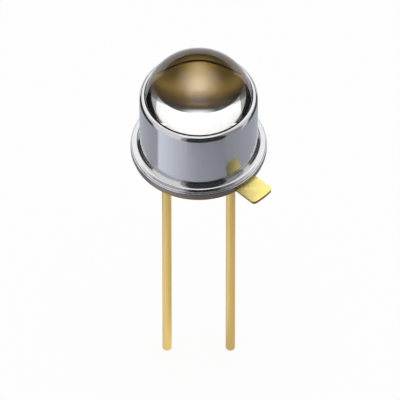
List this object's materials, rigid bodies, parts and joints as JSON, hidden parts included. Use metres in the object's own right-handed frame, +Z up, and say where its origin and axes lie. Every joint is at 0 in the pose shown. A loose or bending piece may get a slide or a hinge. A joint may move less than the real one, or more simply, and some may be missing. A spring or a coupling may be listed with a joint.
{
  "type": "infrared led",
  "caption": "Infrared emitting diode in a round metal can with a domed glass lens, on a flanged gold-plated header with an index tab and straight wire leads.",
  "frame": {"origin": "centre of the seating plane, the underside of the header", "axes": "+Z up the optical axis, from the leads towards the lens; both leads on the X axis, the welded one on +X; the index tab between +X and -Y"},
  "size_m": [0.0056, 0.0056, 0.0172],
  "materials": {
    "header_gold": "satin gold plate",
    "lead_gold": "satin gold plate",
    "wire_gold": "bright gold",
    "cap_nickel": "bright nickel plate",
    "lens_glass": "fire-polished clear glass",
    "bead_glass": "fused dark sealing glass",
    "solder": "dull solder",
    "chip": "sawn and etched semiconductor"
  },
  "bodies": {
    "root": {"header": "header_gold", "glass_seal": "bead_glass", "anode_lead": "lead_gold", "cathode_lead": "lead_gold", "die_attach": "solder", "led_chip": "chip", "bond_wire": "wire_gold", "cap": "cap_nickel", "lens": "lens_glass"}
  },
  "joints": []
}
